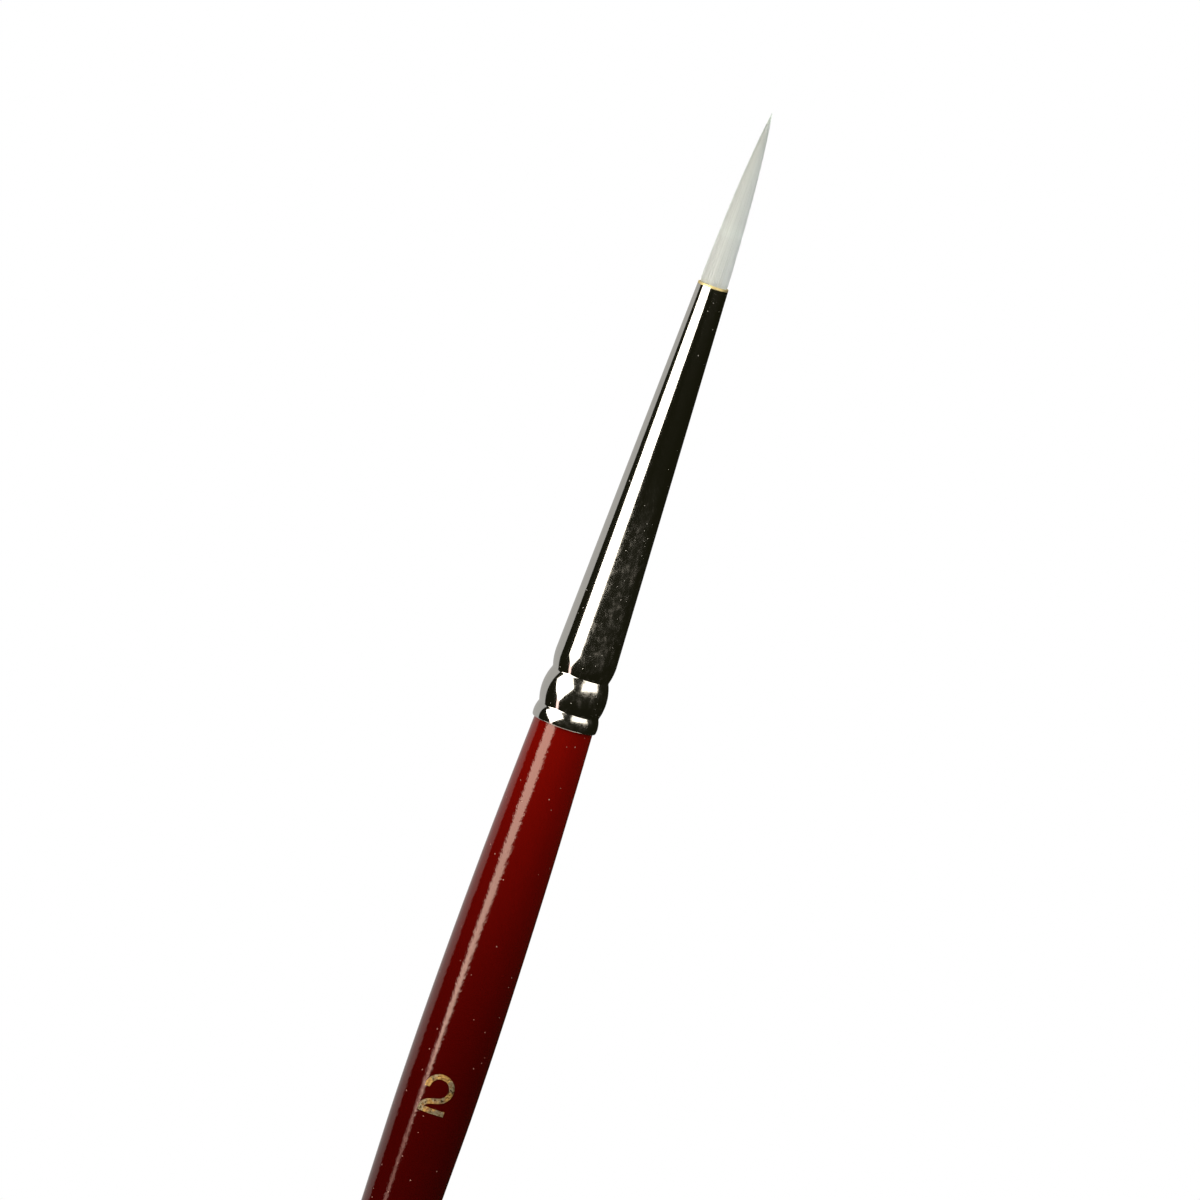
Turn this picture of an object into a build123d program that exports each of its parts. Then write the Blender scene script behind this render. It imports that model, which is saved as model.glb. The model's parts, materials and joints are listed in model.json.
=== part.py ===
"""Fine detail brush: a lacquered wooden handle, a drawn and crimped metal ferrule and a pointed tuft.

The brush lies along Z with its tuft up. The origin is on its axis, at the middle of the handle's
belly, where fingers or a stand hold it. Everything is in millimetres.
"""

import os

from build123d import *

# ---- driving dimensions --------------------------------------------------------------------

handle_length = 142.0  # tail to the ferrule's rear end
ferrule_length = 30.85
tuft_length = 12.15  # filament that shows past the ferrule's mouth

# Ferrule: a straight cone, one rolled bead between two crimps, and a collar at the rear end.
# Each pair is a radius and a height above the rear end.
mouth_radius = 1.045
barrel_end = (2.10, 4.95)
first_crimp = (1.94, 3.50)
bead_crest = (2.235, 2.25)
second_crimp = (2.07, 1.05)
collar_crest = (2.228, 0.30)
ferrule_end_radius = 2.19
crimp_rounding = 0.10
wall = 0.14

# Handle: a slim neck, a short straight belly and a long taper. Each pair is a radius and a height
# above the tail.
neck_radius = 2.03
neck_curve = ((2.36, 134.5), (2.58, 126.5))
belly_radius = 2.68
belly_height = 117.0  # tail to the middle of the belly
grip_length = 6.0  # straight stretch of the belly
tail_curve = ((2.595, 110.3), (2.20, 88.0), (1.72, 48.0), (1.38, 12.0))
tail_radius = 1.28
neck_slope = (0.045, -1)  # direction of the side where it leaves the ferrule
tail_slope = (-0.01, -1)  # and where it meets the tail's dome
lacquer_thickness = 0.12

# Tenon and the two glue joints inside the ferrule
tenon_length = 11.0
tenon_chamfer = 0.35
glue_film = 0.06
glue_film_start = 0.5  # height above the ferrule's rear end
glue_film_length = 9.0
plug_depth = 13.0  # mouth to the rear of the glue plug
plug_rise = 1.2  # how far the plug climbs round the root

# Tuft
tuft_radius = 0.967
straight_share = 0.55  # share of the radius lost in a straight line; the rest goes with the cube
point_radius = 0.03
root_depth = 11.0  # filament held inside the ferrule
root_end_radius = 1.05
root_waist = (0.96, 7.8)  # radius, depth below the mouth
root_gap = 0.01  # between the root and the ferrule's bore

# Thread that ties the root
thread_radius = 0.09
thread_pitch = 0.21
thread_turns = 5
thread_depth = 8.4  # mouth to the first turn

# The tuft's two bends, one just above the mouth and one at mid length. Each has a ball on the
# upper piece and a seat in the lower one.
belly_hinge_rise = 0.40
point_hinge_rise = 5.60
root_seat_gap = 0.04
belly_seat_gap = 0.02
seat_rim_drop = 0.36  # seat's rim to the ball's centre

# Size number, a foil laid on the belly
number_height = 2.75
number_width = 2.0
number_stroke = 0.35
number_drop = 0.8  # middle of the belly down to the middle of the number
foil_thickness = 0.03

# ---- places worked out from them -----------------------------------------------------------

tail_end = -belly_height
ferrule_end = tail_end + handle_length
mouth = ferrule_end + ferrule_length
tip = mouth + tuft_length
root_end = mouth - root_depth
belly_hinge = mouth + belly_hinge_rise
point_hinge = mouth + point_hinge_rise
cone_slope = (barrel_end[0] - mouth_radius) / (ferrule_length - barrel_end[1])
bore_radius = mouth_radius - wall


def tuft_radius_at(height):
    """Radius of the tuft at a height above the origin."""
    share = (height - mouth) / tuft_length
    return tuft_radius * (1 - straight_share * share - (1 - straight_share) * share**3)


# ---- ferrule -------------------------------------------------------------------------------


def inside_ferrule(inset, low, high):
    """The space inside the ferrule's outer surface moved inwards by inset, from low to high."""
    above = (mouth_radius - cone_slope - inset, mouth + 1)
    below = (ferrule_end_radius - inset, ferrule_end - 1)
    rolled = (barrel_end, first_crimp, bead_crest, second_crimp, collar_crest, (ferrule_end_radius, 0))
    barrel, crimp_1, bead, crimp_2, collar, rear = [(r - inset, ferrule_end + z) for r, z in rolled]
    with BuildPart() as space:
        with BuildSketch(Plane.XZ):
            with BuildLine() as outline:
                cone = Line(above, barrel)
                TangentArc(barrel, crimp_1, tangent=cone % 1)
                ThreePointArc(crimp_1, bead, crimp_2)
                ThreePointArc(crimp_2, collar, rear)
                crimps = [v for v in outline.vertices() if v.Y in (crimp_1[1], crimp_2[1])]
                fillet(crimps, radius=crimp_rounding + inset)
                Polyline(rear, below, (0, below[1]), (0, above[1]), above)
            make_face()
            with Locations((belly_radius, (low + high) / 2)):
                Rectangle(2 * belly_radius, high - low, mode=Mode.INTERSECT)
        revolve(axis=Axis.Z)
    return space.part


with BuildPart() as ferrule:
    add(inside_ferrule(0, ferrule_end, mouth))
    add(inside_ferrule(wall, ferrule_end - 0.5, mouth + 0.5), mode=Mode.SUBTRACT)

# ---- handle --------------------------------------------------------------------------------


def turned_handle(inset):
    """The handle up to the ferrule's rear end, with its whole surface moved inwards by inset.

    The lacquer's surface is straight along the grip. The wood under it is one long curve.
    """
    neck = (neck_radius - inset, ferrule_end)
    neck_points = [(radius - inset, tail_end + height) for radius, height in neck_curve]
    tail_points = [(radius - inset, tail_end + height) for radius, height in tail_curve]
    tail = (tail_radius - inset, tail_end + tail_radius)
    with BuildPart() as turned:
        with BuildSketch(Plane.XZ):
            with BuildLine():
                if inset:
                    middle = (belly_radius - inset, 0)
                    side = (neck, *neck_points, middle, *tail_points, tail)
                    Spline(*side, tangents=(neck_slope, tail_slope))
                else:
                    top = (belly_radius, grip_length / 2)
                    bottom = (belly_radius, -grip_length / 2)
                    Spline(neck, *neck_points, top, tangents=(neck_slope, (0, -1)))
                    Line(top, bottom)
                    Spline(bottom, *tail_points, tail, tangents=((0, -1), tail_slope))
                RadiusArc(tail, (0, tail_end + inset), tail_radius - inset)
                Polyline((0, tail_end + inset), (0, ferrule_end), neck)
            make_face()
        revolve(axis=Axis.Z)
    return turned.part


with BuildPart() as handle_core:
    add(turned_handle(lacquer_thickness))
    add(inside_ferrule(wall + glue_film, ferrule_end, ferrule_end + tenon_length))
    chamfer(handle_core.edges().sort_by(Axis.Z)[-1], length=tenon_chamfer)

with BuildPart() as handle_lacquer:
    add(turned_handle(0))
    add(turned_handle(lacquer_thickness), mode=Mode.SUBTRACT)

with BuildPart() as tenon_glue:
    film_low = ferrule_end + glue_film_start
    film_high = film_low + glue_film_length
    add(inside_ferrule(wall, film_low, film_high))
    add(inside_ferrule(wall + glue_film, film_low, film_high), mode=Mode.SUBTRACT)

# ---- size number ---------------------------------------------------------------------------

with BuildPart() as size_number:
    half_width = (number_width - number_stroke) / 2
    half_height = (number_height - number_stroke) / 2
    foot = (-half_width, -number_drop - half_height)
    with BuildSketch(Plane.XZ.offset(belly_radius / 2)):
        with BuildLine():
            bowl_centre = half_height - half_width - number_drop
            bowl = CenterArc((0, bowl_centre), half_width, 183, -253)
            Spline(bowl @ 1, foot, tangents=(bowl % 1, (0, -1)))
            Line(foot, (half_width, foot[1]))
        trace(line_width=number_stroke)
        with Locations(foot):
            Circle(number_stroke / 2)
    extrude(amount=belly_radius)
    with BuildSketch(Plane.XY.offset(-grip_length / 2)):
        Circle(belly_radius + foil_thickness)
        Circle(belly_radius, mode=Mode.SUBTRACT)
    extrude(amount=grip_length, mode=Mode.INTERSECT)

# ---- tuft ----------------------------------------------------------------------------------


def ball(centre_height, gap=0.0):
    """A ball on the axis, as wide as the tuft is there, with a gap added."""
    with BuildPart() as round_end:
        with Locations((0, 0, centre_height)):
            Sphere(tuft_radius_at(centre_height) + gap)
    return round_end.part


with BuildPart() as tuft:
    with BuildSketch(Plane.XZ):
        with BuildLine():
            side = Bezier(
                (tuft_radius, mouth),
                (tuft_radius * (1 - straight_share / 3), mouth + tuft_length / 3),
                (tuft_radius * (1 - straight_share * 2 / 3), mouth + tuft_length * 2 / 3),
                (point_radius, tip),
            )
            Polyline(side @ 1, (0, tip), (0, mouth), side @ 0)
        make_face()
    revolve(axis=Axis.Z)


def tuft_between(low, high):
    """The stretch of the tuft from low to high."""
    with BuildPart() as stretch:
        add(tuft.part)
        for height, keep in ((low, Keep.TOP), (high, Keep.BOTTOM)):
            split(bisect_by=Plane.XY.offset(height), keep=keep)
    return stretch.part


with BuildPart() as tuft_belly:
    add(tuft_between(belly_hinge, point_hinge - seat_rim_drop))
    add(ball(belly_hinge))
    split(bisect_by=Plane.XY.offset(point_hinge - seat_rim_drop), keep=Keep.BOTTOM)
    add(ball(point_hinge, belly_seat_gap), mode=Mode.SUBTRACT)

with BuildPart() as tuft_point:
    add(tuft_between(point_hinge, tip + 1))
    add(ball(point_hinge))

with BuildPart() as tuft_root:
    with BuildSketch(Plane.XZ):
        with BuildLine():
            neck_of_root = bore_radius - root_gap
            flank = Spline(
                (neck_of_root, mouth - 0.5),
                (root_waist[0], mouth - root_waist[1]),
                (root_end_radius, root_end),
            )
            Line(flank @ 0, (neck_of_root, mouth))
            Polyline(flank @ 1, (0, root_end), (0, mouth), (neck_of_root, mouth))
        make_face()
    revolve(axis=Axis.Z)
    add(ball(belly_hinge, root_seat_gap), mode=Mode.SUBTRACT)

with BuildPart() as root_glue:
    plug_low = mouth - plug_depth
    add(inside_ferrule(wall, plug_low, root_end + plug_rise))
    add(tuft_root.part, mode=Mode.SUBTRACT)

with BuildPart() as binding_thread:
    coil_low = mouth - thread_depth - thread_turns * thread_pitch
    coil_radius = root_waist[0] + 0.04 + thread_radius
    with BuildLine() as coil:
        Helix(thread_pitch, thread_turns * thread_pitch, coil_radius, center=(0, 0, coil_low))
    with BuildSketch(Plane(origin=coil.line @ 0, z_dir=coil.line % 0)):
        Circle(thread_radius)
    sweep(is_frenet=True)

# ---- write the pieces ----------------------------------------------------------------------

pieces = {
    "handle_core": handle_core,
    "handle_lacquer": handle_lacquer,
    "size_number": size_number,
    "ferrule": ferrule,
    "tenon_glue": tenon_glue,
    "root_glue": root_glue,
    "binding_thread": binding_thread,
    "tuft_root": tuft_root,
    "tuft_belly": tuft_belly,
    "tuft_point": tuft_point,
}

os.makedirs("parts", exist_ok=True)
for name, piece in pieces.items():
    piece.part.label = name
    export_step(piece.part, f"parts/{name}.step")
    print(name, round(piece.part.volume, 3), "mm3")
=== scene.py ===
# %% [markdown]
# # A fine detail brush
#
# A model maker's brush is three things in a line: a lacquered wooden handle, a thin metal ferrule
# and a tuft of pointed filaments. The CAD model already holds their sizes, so this script keeps
# its frame and gives each piece its surface. Lengths are written in millimetres, as a brush maker
# would write them, and each piece is made metres when it is finished.

# %% Load the frame
import cmath
import json
import math
import random

import bmesh
import bpy
from mathutils import Matrix, Vector


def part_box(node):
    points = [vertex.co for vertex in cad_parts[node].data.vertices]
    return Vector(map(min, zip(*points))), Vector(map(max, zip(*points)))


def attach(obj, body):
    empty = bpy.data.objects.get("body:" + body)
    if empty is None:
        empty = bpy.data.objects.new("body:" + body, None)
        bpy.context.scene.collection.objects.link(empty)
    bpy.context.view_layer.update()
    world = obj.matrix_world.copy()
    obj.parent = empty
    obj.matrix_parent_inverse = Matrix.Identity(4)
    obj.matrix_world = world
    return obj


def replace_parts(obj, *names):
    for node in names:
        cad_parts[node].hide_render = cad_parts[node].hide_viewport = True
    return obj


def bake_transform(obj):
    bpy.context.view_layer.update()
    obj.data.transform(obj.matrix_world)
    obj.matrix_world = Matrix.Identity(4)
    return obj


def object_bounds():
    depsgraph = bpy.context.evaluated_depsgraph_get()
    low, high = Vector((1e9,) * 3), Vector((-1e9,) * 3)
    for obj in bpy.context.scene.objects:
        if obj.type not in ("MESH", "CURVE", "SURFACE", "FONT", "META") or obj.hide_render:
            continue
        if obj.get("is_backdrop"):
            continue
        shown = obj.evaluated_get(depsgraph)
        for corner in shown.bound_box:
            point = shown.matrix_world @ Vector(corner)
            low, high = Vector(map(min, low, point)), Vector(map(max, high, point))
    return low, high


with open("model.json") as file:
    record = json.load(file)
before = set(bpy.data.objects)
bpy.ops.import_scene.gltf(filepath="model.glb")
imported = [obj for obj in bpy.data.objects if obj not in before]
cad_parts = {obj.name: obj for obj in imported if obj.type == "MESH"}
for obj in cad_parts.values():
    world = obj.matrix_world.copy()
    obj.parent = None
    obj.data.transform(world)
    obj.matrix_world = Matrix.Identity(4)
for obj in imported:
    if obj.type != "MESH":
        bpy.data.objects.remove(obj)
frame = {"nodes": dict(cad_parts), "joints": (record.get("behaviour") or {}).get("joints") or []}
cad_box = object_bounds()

mm = 0.001
print("CAD nodes:", ", ".join(sorted(frame["nodes"])))


# %% [markdown]
# ## Places
#
# The heights where one piece ends or bends come from the frame: the ferrule's two ends, the handle's
# tail, the tuft's tip and the tuft's two bends. The radii, and most of the points that shape a side,
# are the CAD model's values again, and they are named where they are first needed.

# %% Places read from the frame
def low_and_high(node):
    """Lowest and highest corner of a CAD node, in millimetres."""
    return [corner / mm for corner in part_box(node)]


ferrule_end = low_and_high("ferrule")[0].z
mouth = low_and_high("ferrule")[1].z
tail_end = low_and_high("handle_lacquer")[0].z
tip = low_and_high("tuft_point")[1].z
bend = {joint["name"]: joint["pos_m"][2] / mm for joint in frame["joints"]}
print(f"tail {tail_end:.1f}, ferrule {ferrule_end:.1f} to {mouth:.1f}, tip {tip:.1f} mm")

# %% [markdown]
# ## Shader sums in plain Python
#
# A material in Blender is a graph of nodes. Wiring it by hand hides the idea, so two small classes
# let it be written as sums. `Wire` stands for one output socket, and `+`, `-`, `*` and the
# comparisons on it add Math nodes. `Tree.node` makes any other node: its settings come first, then
# the values or wires of its sockets.

# %% Wire and Tree
class Wire:
    """One output socket. Sums on wires add Math nodes."""

    def __init__(self, tree, socket):
        self.tree = tree
        self.socket = socket

    def math(self, operation, *values):
        return self.tree.node("ShaderNodeMath", {"operation": operation}, dict(enumerate(values)))

    def __add__(self, other):
        return self.math("ADD", self, other)

    def __sub__(self, other):
        return self.math("SUBTRACT", self, other)

    def __rsub__(self, other):
        return self.math("SUBTRACT", other, self)

    def __mul__(self, other):
        return self.math("MULTIPLY", self, other)

    def __lt__(self, other):
        return self.math("LESS_THAN", self, other)

    __radd__ = __add__
    __rmul__ = __mul__


class Tree:
    """The node tree of a material, a lamp or the world."""

    def __init__(self, owner):
        owner.use_nodes = True
        self.nodes = owner.node_tree.nodes
        self.links = owner.node_tree.links
        self.nodes.clear()

    def node(self, kind, settings=None, sockets=None, output=0):
        """Adds a node, gives it its settings and feeds its sockets. Returns one of its outputs."""
        made = self.nodes.new(kind)
        for name, value in (settings or {}).items():
            setattr(made, name, value)
        for name, value in (sockets or {}).items():
            if isinstance(value, Wire):
                self.links.new(value.socket, made.inputs[name])
            else:
                made.inputs[name].default_value = value
        return Wire(self, made.outputs[output]) if made.outputs else None


# %% [markdown]
# ## Finishes
#
# A finish is a material whose tree always ends in one Principled shader. What is the same all over
# the surface is a plain value on the shader's own socket. What changes over the surface, such as
# wear or a grain, is a wire. Most are made from noise in Object coordinates, so they are fixed to
# the piece.

# %% Finish
class Finish(Tree):
    """A material that ends in one Principled shader."""

    def __init__(self, name, **constants):
        self.material = bpy.data.materials.new(name)
        super().__init__(self.material)
        self.place = self.node("ShaderNodeTexCoord", output="Object")
        self.shader = self.nodes.new("ShaderNodeBsdfPrincipled")
        self.node("ShaderNodeOutputMaterial", None, {"Surface": Wire(self, self.shader.outputs[0])})
        for socket, value in constants.items():
            self.shader.inputs[socket.replace("_", " ")].default_value = value
        print("finish:", name)

    def feed(self, socket, wire):
        self.links.new(wire.socket, self.shader.inputs[socket])

    def stretched(self, across, along):
        """Object coordinates in features per millimetre, across and along the brush."""
        scale = (across / mm, across / mm, along / mm)
        return self.node("ShaderNodeMapping", None, {"Vector": self.place, "Scale": scale})

    def axis(self, name):
        """One of the Object coordinates, in millimetres."""
        split = self.node("ShaderNodeSeparateXYZ", None, {0: self.place}, name)
        return split * (1 / mm)

    def noise(self, across, along=None, detail=3.0, roughness=0.5):
        """Cloudy noise from 0 to 1, with that many features per millimetre."""
        vector = self.stretched(across, across if along is None else along)
        sockets = {"Vector": vector, "Scale": 1.0, "Detail": detail, "Roughness": roughness}
        return self.node("ShaderNodeTexNoise", None, sockets)

    def specks(self, per_mm, size, share):
        """1 inside small round specks and 0 outside: a share of the cells holds one."""
        cells = {"Vector": self.stretched(per_mm, per_mm), "Scale": 1.0}
        settings = {"feature": "F1"}
        distance = self.node("ShaderNodeTexVoronoi", settings, cells, "Distance")
        colour = self.node("ShaderNodeTexVoronoi", settings, cells, "Color")
        chance = self.node("ShaderNodeSeparateColor", None, {"Color": colour}, "Red")
        return (distance < size) * (chance < share)

    def step(self, value, low, high):
        """0 below low, 1 above high and a smooth rise between."""
        settings = {"interpolation_type": "SMOOTHSTEP"}
        sockets = {"Value": value, "From Min": low, "From Max": high}
        return self.node("ShaderNodeMapRange", settings, sockets)

    def mix(self, share, first, second):
        """First colour where share is 0, second where it is 1."""
        first, second = [c if isinstance(c, Wire) else (*c, 1) for c in (first, second)]
        settings = {"data_type": "RGBA"}
        return self.node("ShaderNodeMix", settings, {0: share, 6: first, 7: second}, 2)

    def bump(self, height, depth):
        """Relief of the surface: height is 0 to 1 and depth is in millimetres."""
        sockets = {"Height": height, "Distance": depth * mm, "Strength": 1.0}
        self.feed("Normal", self.node("ShaderNodeBump", None, sockets))


# %% [markdown]
# ## Turned pieces
#
# The handle and the ferrule are both round: one was turned on a lathe and the other drawn from a
# tube. In Blender the same is done with the Spin operator. An outline of a few points is drawn in
# the XZ plane and spun once round Z. A circle primitive extruded ring by ring would do too, but an
# outline shows the whole side of the piece at a glance.

# %% Outline, spin and finish of a piece
tiny = 0.0005  # points closer than this are the same point


def draw_outline(bm, points):
    """Joins points, each a radius and a height, by edges. Returns their vertices in order."""
    verts = [bm.verts.new((radius, 0, height)) for radius, height in points]
    for near, far in zip(verts, verts[1:]):
        bm.edges.new((near, far))
    return verts


def turn(bm, segments):
    """Spins the outline once round Z, closes seam and poles, and points the faces outwards."""
    outline = bm.verts[:] + bm.edges[:]
    turn_of = {"cent": (0, 0, 0), "axis": (0, 0, 1), "angle": math.tau}
    bmesh.ops.spin(bm, geom=outline, steps=segments, use_merge=True, **turn_of)
    bmesh.ops.remove_doubles(bm, verts=bm.verts[:], dist=tiny)
    bmesh.ops.recalc_face_normals(bm, faces=bm.faces[:])


def finished(bm, name, finish):
    """Makes bm, drawn in millimetres, an object in metres with its finish."""
    bmesh.ops.scale(bm, vec=(mm, mm, mm), verts=bm.verts[:])
    mesh = bpy.data.meshes.new(name)
    bm.to_mesh(mesh)
    bm.free()
    mesh.shade_smooth()
    mesh.materials.append(finish.material)
    piece = bpy.data.objects.new(name, mesh)
    bpy.context.scene.collection.objects.link(piece)
    print(f"{name}: {len(mesh.polygons)} faces, {len(mesh.vertices)} points")
    return piece


# %% [markdown]
# ## Ferrule metal
#
# The ferrule is nickel plated over brass. A mirror-like metal shows only what it reflects, so the
# colour is nearly neutral and the work is in the roughness: fingers and cleaning leave cloudy
# smudges, and drawing the tube leaves fine lines along it. Dust shows as a few pale specks. The
# cut edge at the mouth has lost its plating, and bare brass is warmer and rougher.

# %% Finishes of the ferrule
nickel = Finish("nickel_plate", Metallic=1.0)
drawn_lines = nickel.noise(20, 0.5, detail=2.0)
dents = nickel.noise(1.1, 0.35, detail=1.0)
clean_depth, touched_depth = 11, 20  # fingers leave the metal near the mouth clean
depth = mouth - nickel.axis("Z")
touched = nickel.step(nickel.axis("X"), -0.9, 0.3) * nickel.step(depth, clean_depth, touched_depth)
prints = nickel.step(nickel.noise(2.4, 1.5, detail=6.0, roughness=0.7), 0.42, 0.70)
haze = touched * (0.26 + prints * 0.62)
dust = nickel.specks(5.5, 0.15, 0.05 + touched * 0.08)
tint = nickel.mix(haze, (0.68, 0.67, 0.64), (0.56, 0.53, 0.48))
nickel.feed("Base Color", nickel.mix(dust, tint, (0.75, 0.73, 0.70)))
nickel.feed("Roughness", 0.06 + haze * 0.25 + drawn_lines * 0.04 + dust * 0.4)
nickel.bump(drawn_lines * 0.15 + dents * 4.0 + prints * touched * 0.5 + dust * 2.0, 0.0012)

brass = Finish("cut_brass", Metallic=1.0)
file_marks = brass.noise(30, detail=2.0)
brass.feed("Base Color", brass.mix(file_marks, (0.70, 0.55, 0.22), (0.88, 0.76, 0.42)))
brass.feed("Roughness", 0.42 + file_marks * 0.20)
brass.bump(file_marks, 0.002)


# %% [markdown]
# ## Ferrule
#
# A ferrule is a thin tube drawn to a cone and rolled on a crimping wheel, which leaves one raised
# bead between two grooves. The bead and the rear collar are arcs, because a wheel cuts arcs. An arc
# could be typed in as points, but spinning one vertex about the arc's centre draws it exactly. The
# inner wall is the same outline, moved inwards by the wall's thickness. One ring lies just below the
# mouth, where the bare brass ends, so that the two metals meet in a clean line.

# %% The ferrule's outline
mouth_radius = 1.045
barrel_end = (2.10, 4.95)
first_crimp = (1.94, 3.50)
bead_crest = (2.235, 2.25)
second_crimp = (2.07, 1.05)
collar_crest = (2.228, 0.30)
ferrule_end_radius = 2.19
ferrule_wall = 0.14
cut_edge = 0.16  # how far the bare brass shows below the mouth
flare_swell = 0.012  # the barrel still swells by this on its way to the first crimp
flare_rise = 0.35  # how far above the middle of that way it does
groove_rounding = 0.06
mouth_rounding = 0.035
rear_rounding = 0.065
cone_rings = 48
ferrule_segments = 128


def arc(bm, first, middle, last, steps):
    """Spins vertex first along the circle through the points middle and last."""
    # the centre of the circle through three points of the complex plane
    a, b, c = complex(first.co.x, first.co.z), complex(*middle), complex(*last)
    w = (c - a) / (b - a)
    centre = a - (a - b) * (w - abs(w) ** 2) / (2j * w.imag)
    angle = -cmath.phase((c - centre) / (a - centre))
    about = {"cent": (centre.real, 0, centre.imag), "axis": (0, 1, 0)}
    spun = bmesh.ops.spin(bm, geom=[first], angle=angle, steps=steps, **about)
    return next(v for v in spun["geom_last"] if isinstance(v, bmesh.types.BMVert))


def ferrule_side(bm, inset):
    """One side of the ferrule's wall, from the mouth to the rear end, moved inwards by inset."""
    rolled = (barrel_end, first_crimp, bead_crest, second_crimp, collar_crest, (ferrule_end_radius, 0))
    barrel, crimp_1, bead, crimp_2, collar, rear = [(r - inset, ferrule_end + z) for r, z in rolled]
    rim = Vector((mouth_radius - inset, mouth))
    shares = [0, cut_edge / (mouth - barrel[1])]
    shares += [ring / cone_rings for ring in range(1, cone_rings + 1)]
    cone = draw_outline(bm, [rim.lerp(Vector(barrel), share) for share in shares])
    flare = (barrel[0] + flare_swell, (barrel[1] + crimp_1[1]) / 2 + flare_rise)
    groove_1 = arc(bm, cone[-1], flare, crimp_1, 10)
    groove_2 = arc(bm, groove_1, bead, crimp_2, 24)
    end = arc(bm, groove_2, collar, rear, 10)
    return cone[0], groove_1, groove_2, end


def ferrule_wall_outline():
    """The closed outline of the ferrule's wall, with its grooves and rims rounded."""
    bm = bmesh.new()
    outer = ferrule_side(bm, 0)
    inner = ferrule_side(bm, ferrule_wall)
    bm.edges.new((outer[0], inner[0]))
    bm.edges.new((outer[3], inner[3]))
    rounded = {"offset_type": "OFFSET", "segments": 4, "profile": 0.5, "affect": "VERTICES"}
    bmesh.ops.bevel(bm, geom=[*outer[1:3]], offset=groove_rounding, material=-1, **rounded)
    for height, offset in ((mouth, mouth_rounding), (ferrule_end, rear_rounding)):
        rims = [v for v in bm.verts if abs(v.co.z - height) < tiny]
        bmesh.ops.bevel(bm, geom=rims, offset=offset, material=-1, **rounded)
    print(f"ferrule: {len(bm.verts)} points in the outline of its wall")
    return bm


# %% Spin the ferrule
bm = ferrule_wall_outline()
turn(bm, ferrule_segments)
for face in bm.faces:
    face.material_index = int(face.calc_center_median().z > mouth - cut_edge)
ferrule = finished(bm, "ferrule_shell", nickel)
ferrule.data.materials.append(brass.material)
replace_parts(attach(ferrule, "handle_and_ferrule"), "ferrule")

# %% [markdown]
# ## Lacquer
#
# The handle was dipped in a deep red lacquer. It dries with a fine orange peel, it catches dust
# while it is wet, and it is nicked by other brushes in the jar. A clear coat on the shader would
# give the gloss too, but a coat has a normal of its own, so its highlights would stay smooth. So the
# gloss is the shader's own, and a low bump breaks up the edges of its highlights. The red is painted
# brighter at the neck and darker below the belly. This is painted light and shade, in place of the
# lamps' light falling off down the handle.

# %% Finish of the lacquer
lacquer = Finish("red_lacquer", IOR=1.75, Specular_Tint=(1.0, 0.75, 0.66, 1))
orange_peel = lacquer.noise(2.5, 3.2, detail=3.0)
fine_peel = lacquer.noise(11, 8, detail=2.0)
clouds = lacquer.noise(0.35, 0.12, detail=4.0)
nicks = lacquer.specks(1.9, 0.08, 0.35)
painted_darkest_height, painted_brightest_height = -10, 26  # heights where the painted shade is darkest and where the painted light is brightest
# painted light and shade: the red goes from bright at the neck to dark below the belly, as light falls
# off
rise = (lacquer.axis("Z") - painted_darkest_height) * (1 / (painted_brightest_height - painted_darkest_height))
painted_light_share = lacquer.node("ShaderNodeClamp", None, {0: rise})
shaded_red = lacquer.mix(clouds, (0.048, 0.0002, 0.0002), (0.038, 0.0001, 0.0001))
lit_red = lacquer.mix(clouds, (0.160, 0.0022, 0.0006), (0.135, 0.0014, 0.0004))
# painted shade: the lit red near the ferrule blends into the shaded red lower down the handle
red_with_painted_shade = lacquer.mix(painted_light_share * painted_light_share, shaded_red, lit_red)
lacquer.feed("Base Color", lacquer.mix(nicks, red_with_painted_shade, (0.42, 0.22, 0.18)))
lacquer.feed("Roughness", 0.05 + clouds * 0.05 + nicks * 0.4)
lacquer.bump(orange_peel + fine_peel * 0.25 - nicks * 0.6, 0.014)

# %% [markdown]
# ## Handle
#
# The handle is thickest just behind the ferrule and tapers to a rounded tail. Its side is one long
# smooth curve, which a Subdivision Surface draws well from a few rings, where many typed rings
# would show small kinks in the highlight. Solidify then gives the lacquer its thickness inwards,
# over the wooden core.

# %% The handle's outline
neck_radius = 2.03
belly_radius = 2.68
grip_half = 3.0
tail_radius = 1.28
lacquer_thickness = 0.12
handle_segments = 48

rim_ring = ferrule_end - 0.06  # keeps the end crisp when the outline is smoothed
neck_side = [(neck_radius, ferrule_end), (neck_radius, rim_ring), (2.36, 17.5), (2.58, 9.5)]
grip_side = [(belly_radius, grip_half), (belly_radius, 0), (belly_radius, -grip_half)]
dome_top = tail_end + tail_radius
tail_side = [(2.595, -6.7), (2.20, -29), (1.72, -69), (1.38, -105), (1.31, dome_top + 1.2)]


def widened(step):
    """How much wider to draw a curve with points that angle apart, because smoothing draws it in."""
    return 3 / (2 + math.cos(step))


dome_step = math.radians(30)
dome_radius = tail_radius * widened(dome_step)
dome_side = []
for ring in range(4):
    angle = ring * dome_step
    dome_side.append((dome_radius * math.cos(angle), dome_top - dome_radius * math.sin(angle)))
widening = widened(math.tau / handle_segments)
handle_side = neck_side + grip_side + tail_side + dome_side
print(f"handle: {len(handle_side)} points in its outline, drawn {widening:.4f} times as wide")

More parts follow.
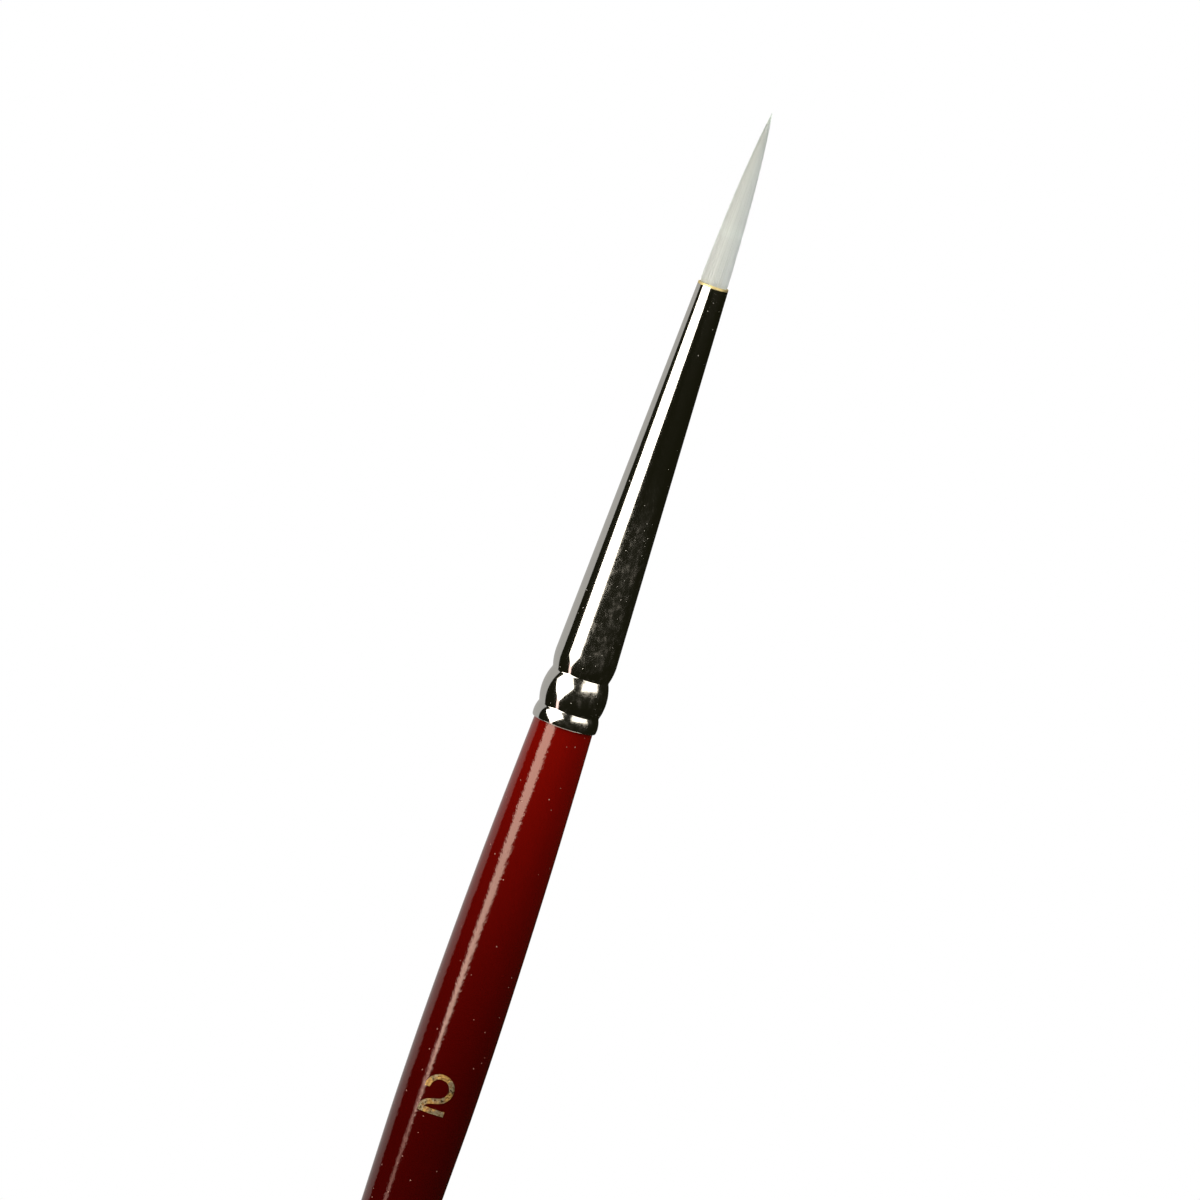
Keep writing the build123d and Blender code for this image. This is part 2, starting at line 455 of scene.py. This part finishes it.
# %% Spin the lacquer
bm = bmesh.new()
draw_outline(bm, [(radius * widening, height) for radius, height in handle_side])
turn(bm, handle_segments)
handle = finished(bm, "lacquered_handle", lacquer)
smooth = handle.modifiers.new("smooth", "SUBSURF")
smooth.levels = smooth.render_levels = 2
skin = handle.modifiers.new("skin", "SOLIDIFY")
skin.thickness = lacquer_thickness * mm
skin.offset = -1
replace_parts(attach(handle, "handle_and_ferrule"), "handle_lacquer")

# %% [markdown]
# ## Filaments
#
# The tuft is a bundle of synthetic filaments, less than a tenth of a millimetre thick at the root
# and pointed at the end. They are off-white and pass a little light from one to the next, which is
# why a tuft looks soft and even. Subsurface scattering on the shader does that. Each filament gets
# its own shade from an attribute, because no two take the light in quite the same way. There is no
# bump: a noise in Object coordinates would slide over the filaments when the tuft bends.

# %% Finish of the filaments
filament = Finish(
    "filament",
    Subsurface_Weight=0.7,
    Subsurface_Scale=0.35 * mm,
    Subsurface_Radius=(1.0, 1.0, 0.9),
)
shade = filament.node("ShaderNodeAttribute", {"attribute_name": "shade"}, None, "Fac")
pale = filament.mix(shade, (0.79, 0.87, 0.82), (0.85, 0.93, 0.88))
filament.feed("Base Color", pale)
filament.feed("Roughness", 0.36 + shade * 0.12)


# %% [markdown]
# ## Tuft
#
# A hair system could grow the filaments, but it leaves no mesh and can't be joined to the heart of
# the tuft. So the bundle starts straight, as a maker ties it: a thin prism is made once for each
# filament, and its place comes from a sunflower spiral, which packs a circle evenly. Then the whole
# bundle is drawn to its point at once, by pulling every ring towards the axis. The bundle is split
# between the two bends, into a lower and an upper half.

# %% Shape of the bundle
tuft_radius = 0.967
straight_share = 0.55
tuft_length = tip - mouth
bore_radius = mouth_radius - ferrule_wall
held_gap = 0.015  # between the bundle and the bore
filament_count = 600
filament_radius = 0.04
filament_sides = 5
heart_radius = 0.935
heart_end = 0.5  # how far before the tip the heart ends
heart_shade = 0.4
side_bend, point_bend = bend["tuft_side_bend"], bend["tuft_point_bend"]
split_height = (side_bend + point_bend) / 2 + 0.3
tucked = 0.975  # how much thinner each half is where it runs on inside the other
tuck = 0.8  # how far it runs on
end_spread = 1.1  # how much earlier the outermost filaments may end
end_margin = 0.02  # how far before the tip the longest filaments end
swell_height = 0.35  # the bundle swells to its own radius over this height
swell_start = 0.25  # the share of that swell which lies inside the bore
point_share = 0.2  # what is left of a filament's radius at its end
rng = random.Random(12)
print(f"tuft: {filament_count} filaments, split {split_height - mouth:.2f} mm above the mouth")


def bundle_radius(height):
    """Radius of the bundle: held by the bore, then swelling past the mouth and drawn to a point."""
    share = max(0, (height - mouth) / tuft_length)
    drawn = max(0, tuft_radius * (1 - straight_share * share - (1 - straight_share) * share**3))
    held = bore_radius - held_gap
    free = min(1, max(0, (height - mouth) / swell_height + swell_start))
    return held + (drawn - held) * free


# %% Grow a straight bundle and draw it to its point
spots = []
for index in range(filament_count):
    reach = math.sqrt((index + 0.5) / filament_count) * (tuft_radius - filament_radius)
    angle = index * math.pi * (3 - math.sqrt(5))
    stop = tip - end_spread * rng.random() * reach / tuft_radius - end_margin
    spots.append((reach * math.cos(angle), reach * math.sin(angle), stop, rng.random()))
print(f"the shortest filament ends {tip - min(spot[2] for spot in spots):.2f} mm before the tip")


def bundle(levels, shown):
    """The heart and the filaments of the tuft, with a ring at each level, thinner where not shown."""
    bm = bmesh.new()
    heart = [(heart_radius, level) for level in levels if level < tip - heart_end]
    draw_outline(bm, [(0, heart[0][1]), *heart, (0, heart[-1][1])])
    turn(bm, 48)
    shade_of = bm.verts.layers.float.new("shade")
    stop_of = bm.verts.layers.float.new("stop")
    for vert in bm.verts:
        vert[shade_of] = heart_shade
    growing = []
    for x, y, stop, tone in spots:
        place = Matrix.Translation((x, y, levels[0]))
        size = {"segments": filament_sides, "radius": filament_radius}
        ring = bmesh.ops.create_circle(bm, cap_ends=True, matrix=place, **size)["verts"]
        growing.append(ring[0].link_faces[0])
        for vert in ring:
            vert[shade_of] = tone
            vert[stop_of] = stop
    for level in levels[1:]:
        ends = bmesh.ops.extrude_discrete_faces(bm, faces=growing)["faces"]
        growing = []
        for face in ends:
            stop = face.verts[0][stop_of]
            for vert in face.verts:
                vert.co.z = min(level, stop)
            if level < stop:
                growing.append(face)
                continue
            middle = face.calc_center_median()
            for vert in face.verts:
                vert.co = middle.lerp(vert.co, point_share)
    open_ends = [edge for edge in bm.edges if edge.is_boundary]
    bmesh.ops.holes_fill(bm, edges=open_ends, sides=filament_sides)
    for vert in bm.verts:
        drawn = bundle_radius(vert.co.z) / tuft_radius
        if not shown[0] - tiny < vert.co.z < shown[1] + tiny:
            drawn *= tucked
        vert.co.x *= drawn
        vert.co.y *= drawn
    bmesh.ops.recalc_face_normals(bm, faces=bm.faces[:])
    return bm


# %% The tuft's two halves
# a ring close to each side of the split keeps its small step out of the shading around it
lower_levels = [mouth + rise for rise in (-0.9, -0.3, 0, 0.15, 0.3, 0.5, 0.8, 1.1, 1.5, 2.4)]
lower_levels += [split_height + rise for rise in (-0.03, 0, 0.015, tuck)]
upper_levels = [split_height + rise for rise in (-tuck, -0.015, 0, 0.03)]
upper_levels += [point_bend + rise for rise in (-1.2, -0.8, -0.4, 0, 0.4, 0.8, 1.2)]
upper_levels += [point_bend + rise for rise in (2.2, 3.4, 4.6, 5.6)] + [tip]

lower_half = bundle(lower_levels, (lower_levels[0], split_height))
lower = finished(lower_half, "tuft_lower_filaments", filament)
upper_half = bundle(upper_levels, (split_height, tip))
upper = finished(upper_half, "tuft_upper_filaments", filament)


# %% Where the tuft's two bends reach
def on_axis(height):
    """The point on the brush's axis at a height, in metres."""
    return Vector((0, 0, height * mm))


held_depth = 0.15  # how far below the mouth the lower bend starts
lower_reach = 1.1  # how far above its hinge it ends
upper_reach = 1.2  # how far to each side of its hinge the upper bend reaches
low, high = on_axis(mouth - held_depth), on_axis(side_bend + lower_reach)
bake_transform(lower)
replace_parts(lower, "tuft_belly")
print(f"lower bend from {low.z / mm:.2f} to {high.z / mm:.2f} mm")

low, high = on_axis(point_bend - upper_reach), on_axis(point_bend + upper_reach)
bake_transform(upper)
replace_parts(upper, "tuft_point")
print(f"upper bend from {low.z / mm:.2f} to {high.z / mm:.2f} mm")

# %% [markdown]
# ## Size number
#
# The number is hot foil: a gold film pressed on the lacquer through a heated die. Its shape is
# already exact in the CAD model, so it is kept, and only its finish is made here. Foil is a metal,
# and where fingers have rubbed it the red shows through, so Metallic and the colour change together
# along the same worn patches.

# %% Finish of the foil
foil = Finish("gold_foil", Specular_IOR_Level=0.4)
wear = foil.step(foil.noise(3.8, detail=5.0, roughness=0.7), 0.50, 0.64)
crinkle = foil.step(foil.noise(7, detail=4.0, roughness=0.65), 0.36, 0.62)
warm = foil.step(foil.noise(1.3, detail=2.0), 0.48, 0.60)
gold = foil.mix(crinkle, (0.17, 0.12, 0.05), (0.50, 0.42, 0.28))
rich_gold = foil.mix(warm, gold, (0.60, 0.38, 0.12))
foil.feed("Base Color", foil.mix(wear, rich_gold, (0.26, 0.12, 0.04)))
foil.feed("Metallic", 1 - wear * 0.5)
foil.feed("Roughness", 0.22 + crinkle * 0.2 + wear * 0.2)
foil.bump(crinkle, 0.02)

# %% [markdown]
# ## What is inside
#
# The core, the glue, the thread and the root are hidden in the finished brush, but they come into
# view when it is taken apart, so each has its own finish too.

# %% Finishes of the inner pieces
wood = Finish("birch", Specular_IOR_Level=0.3)
grain = wood.noise(3.5, 0.08, detail=5.0, roughness=0.6)
wood.feed("Base Color", wood.mix(grain, (0.42, 0.27, 0.14), (0.66, 0.49, 0.30)))
wood.feed("Roughness", 0.55 + grain * 0.2)
wood.bump(grain, 0.03)

glue = Finish("epoxy_glue", Subsurface_Weight=0.2, Subsurface_Scale=0.5 * mm)
flow = glue.noise(1.2)
glue.feed("Base Color", glue.mix(flow, (0.55, 0.38, 0.14), (0.70, 0.55, 0.28)))
glue.feed("Roughness", 0.15 + flow * 0.2)
glue.bump(flow, 0.02)

thread = Finish("waxed_thread", Sheen_Weight=0.3)
twist = thread.noise(12, 26, detail=2.0)
thread.feed("Base Color", thread.mix(twist, (0.50, 0.44, 0.34), (0.74, 0.69, 0.58)))
thread.feed("Roughness", 0.6 + twist * 0.2)
thread.bump(twist, 0.02)

root = Finish("glued_root", Subsurface_Weight=0.3, Subsurface_Scale=0.5 * mm)
strands = root.noise(11, 0.3, detail=2.0)
root.feed("Base Color", root.mix(strands, (0.60, 0.58, 0.50), (0.84, 0.83, 0.77)))
root.feed("Roughness", 0.4 + strands * 0.2)
root.bump(strands, 0.02)

# %% Give the CAD pieces their finishes
finish_of = {
    "size_number": foil,
    "handle_core": wood,
    "tenon_glue": glue,
    "root_glue": glue,
    "binding_thread": thread,
    "tuft_root": root,
}
for node, finish in finish_of.items():
    cad_mesh = frame["nodes"][node].data
    cad_mesh.materials.clear()
    cad_mesh.materials.append(finish.material)
    print(node, "is", finish.material.name)

# %% [markdown]
# ## Floor and light
#
# A mirror-like ferrule is lit by what it sees, so the lights are soft boxes, and most of them show
# as a clean strip along the metal. The main one stands left of the camera, turned on its corner, so
# its strip narrows towards the handle, and a narrow one low down carries it on along the lacquer. A
# high one on the right draws the window on the bead, and a dim panel behind on the left draws the
# grey line along the far edge. The tuft has a small lamp of its own that nothing mirrors, and a
# large one overhead lights the whole scene. The floor isn't mirrored either, so a lamp under it,
# which is only mirrored, stands in for its glow. Round all this the room is nearly dark, and only
# the camera sees a white backdrop.

# %% Floor and world
floor_radius = 400
bm = bmesh.new()
bmesh.ops.create_circle(bm, cap_ends=True, segments=96, radius=floor_radius)
bmesh.ops.translate(bm, vec=(0, 0, tail_end), verts=bm.verts[:])
paper = Finish("pale_floor", Roughness=0.8)
paper.feed("Base Color", paper.mix(paper.noise(0.4), (0.84, 0.84, 0.83), (0.88, 0.88, 0.87)))
floor = finished(bm, "floor", paper)
floor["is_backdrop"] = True
floor.visible_glossy = False  # the metal and the lacquer mirror the lights and not the paper

world = bpy.data.worlds.new("studio")
bpy.context.scene.world = world
sky = Tree(world)
room = sky.node("ShaderNodeBackground", None, {"Color": (1.0, 0.98, 0.45, 1), "Strength": 0.011})
backdrop = sky.node("ShaderNodeBackground", None, {"Color": (1, 1, 1, 1), "Strength": 1.0})
seen = sky.node("ShaderNodeLightPath", None, None, "Is Camera Ray")
both = sky.node("ShaderNodeMixShader", None, {0: seen, 1: room, 2: backdrop})
sky.node("ShaderNodeOutputWorld", None, {"Surface": both})
print("floor at", round(tail_end, 2), "mm, world:", world.name)


# %% Soft boxes
def softbox(name, azimuth, rise, distance, size, radiance, colour, turned=0):
    """An area lamp that faces the brush's axis at height rise, azimuth degrees right of the camera."""
    lamp = bpy.data.lights.new(name, "AREA")
    lamp.shape = "RECTANGLE"
    lamp.size, lamp.size_y = size[0] * mm, size[1] * mm
    lamp.energy = radiance * math.pi * lamp.size * lamp.size_y
    lamp.color = colour
    box = bpy.data.objects.new(name, lamp)
    bpy.context.scene.collection.objects.link(box)
    heading = math.radians(azimuth)
    box.location = Vector((math.sin(heading) * distance, -math.cos(heading) * distance, rise)) * mm
    facing = Matrix.Rotation(heading, 4, "Z") @ Matrix.Rotation(math.radians(90), 4, "X")
    box.rotation_euler = (facing @ Matrix.Rotation(math.radians(turned), 4, "Z")).to_euler()
    box.visible_camera = False
    print(f"{name}: {lamp.energy:.2f} W")
    return box


warm_white = (1.0, 0.94, 0.83)
white = (1.0, 1.0, 1.0)
bounce_depth = 60  # how far below the floor the bounce lies
# each has its degrees right of the camera, height, distance, width and height, radiance and colour
softbox("key", -44, 76, 150, (155, 155), 4.6, warm_white, turned=45)
softbox("key_foot", -48, -50, 150, (25, 80), 1.9, (1.0, 0.72, 0.66))
softbox("window", 52, 104, 150, (185, 72), 3.0, warm_white)
softbox("rim", -142, 30, 260, (420, 760), 0.5, (1.0, 0.98, 0.95), turned=-26)
tuft_fill = softbox("tuft_fill", 70, 90, 60, (50, 50), 4.5, white)
tuft_fill.visible_glossy = False
overhead = softbox("overhead", 0, 600, 0, (800, 800), 2.2, white)
overhead.rotation_euler = (0, 0, 0)  # it faces straight down
bounce = softbox("bounce", 0, tail_end - bounce_depth, 27, (420, 96), 1.5, warm_white)
bounce.rotation_euler = (math.pi, 0, 0)  # it faces straight up
bounce.visible_diffuse = False

# %% [markdown]
# ## Camera
#
# A long lens from well back keeps the brush's sides straight. The camera looks slightly down and is
# rolled, so the brush leans to the right across the picture.

# %% Camera
view_width = 79.3
lens, sensor = 300, 36
above, lean = math.radians(7.5), math.radians(18.83)
view_middle = Vector((-0.385, 0, 33.63))
distance = view_width * lens / sensor

backwards = Vector((0, -math.cos(above), math.sin(above)))
side, up = Vector((1, 0, 0)), Vector((0, math.sin(above), math.cos(above)))
right = side * math.cos(lean) + up * math.sin(lean)
upwards = up * math.cos(lean) - side * math.sin(lean)
camera_data = bpy.data.cameras.new("camera")
camera_data.lens, camera_data.sensor_width = lens, sensor
camera = bpy.data.objects.new("camera", camera_data)
bpy.context.scene.collection.objects.link(camera)
turned = Matrix((right, upwards, backwards)).transposed().to_4x4()
camera.matrix_world = Matrix.Translation((view_middle + backwards * distance) * mm) @ turned
bpy.context.scene.camera = camera
bpy.context.scene.view_settings.view_transform = "Standard"
print(f"camera {distance:.0f} mm away")

# %% Sizes, and the end
sizes = {"cad": cad_box, "visual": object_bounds()}
sizes = {name: [[float(x) for x in corner] for corner in box] for name, box in sizes.items()}
print(sizes)
